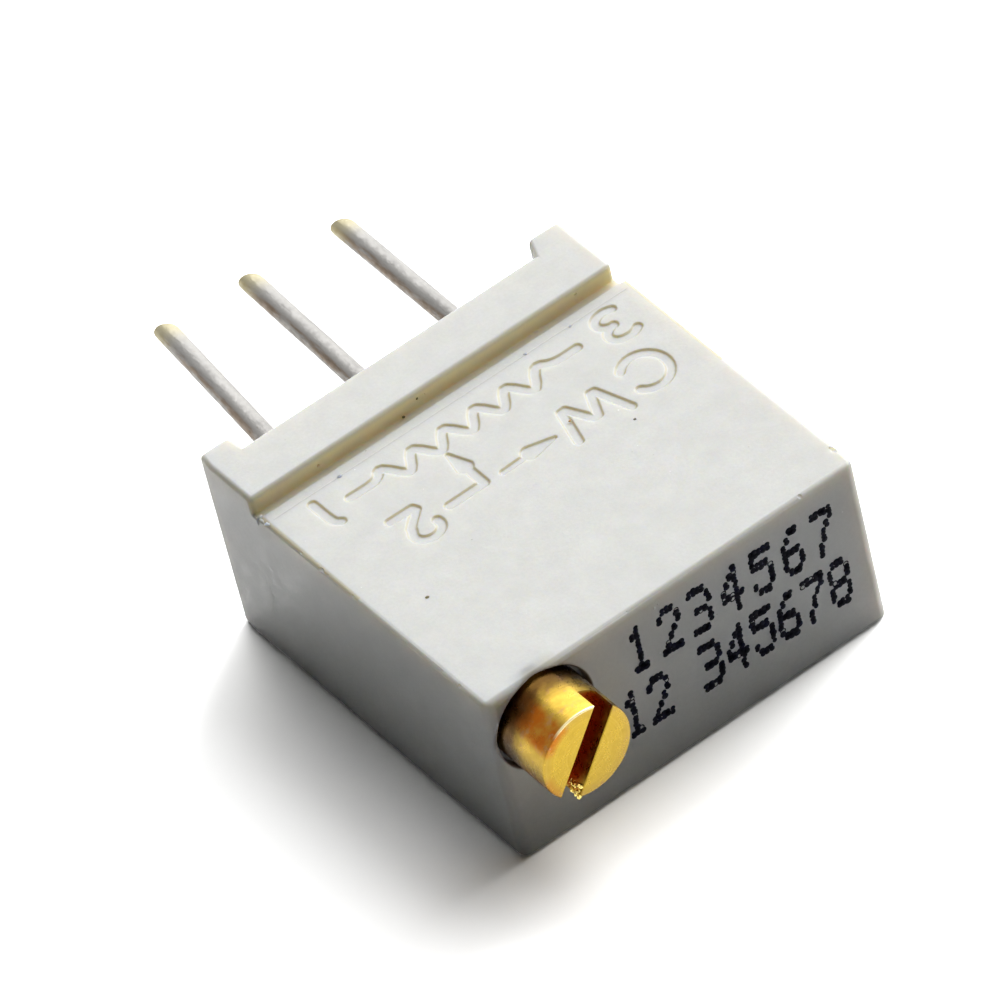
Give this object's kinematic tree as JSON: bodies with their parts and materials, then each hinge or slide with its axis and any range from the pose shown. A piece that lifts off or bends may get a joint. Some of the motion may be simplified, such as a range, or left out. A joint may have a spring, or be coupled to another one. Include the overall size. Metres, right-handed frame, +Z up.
{
  "type": "trimmer potentiometer",
  "caption": "Square multi-turn trimmer potentiometer with a slotted brass adjusting screw, a worm-driven rotor and wire terminals in one row.",
  "frame": {"origin": "centre of the resting face of the body, between its side walls and between the screw face and the terminal face", "axes": "+X along the terminal row from terminal 1 to terminal 3, +Y from the screw face to the terminals, +Z up from the resting face to the marked face"},
  "size_m": [0.0096, 0.0176, 0.0049],
  "materials": {
    "housing": "moulded light grey thermoset, fine matte",
    "screw_brass": "turned brass, light oxide",
    "seal_rubber": "black rubber",
    "retainer_steel": "stamped sheet",
    "rotor_plastic": "moulded natural thermoplastic",
    "spring_metal": "stamped spring alloy",
    "alumina": "fired alumina",
    "track_film": "fired resistive film",
    "lead_film": "fired metal film",
    "tinned_wire": "solder-dipped wire",
    "solder": "soft solder",
    "potting": "cast resin"
  },
  "bodies": {
    "body": {"housing": "housing", "base_seal": "potting", "screw_retainer": "retainer_steel", "seal_ring": "seal_rubber", "substrate": "alumina", "resistive_track": "track_film", "end_lead_1": "lead_film", "collector": "lead_film", "end_lead_3": "lead_film", "terminal_1": "tinned_wire", "terminal_2": "tinned_wire", "terminal_3": "tinned_wire", "solder_1": "solder", "solder_2": "solder", "solder_3": "solder"},
    "screw": {"adjusting_screw": "screw_brass"},
    "wheel": {"rotor": "rotor_plastic", "wiper": "spring_metal"}
  },
  "joints": [
    {"name": "screw_turn", "type": "hinge", "parent": "body", "child": "screw", "pos_m": [-0.00349, 0, 0.0033], "axis": [0, 1, 0], "range_deg": [-4500, 4500]},
    {"name": "wheel_turn", "type": "hinge", "parent": "body", "child": "wheel", "pos_m": [0, 0, 0.0033], "axis": [0, 0, 1], "range_deg": [-145.2, 145.2]}
  ],
  "couplings": [
    {"joint": "wheel_turn", "follows": "screw_turn", "ratio": 0.032258}
  ]
}
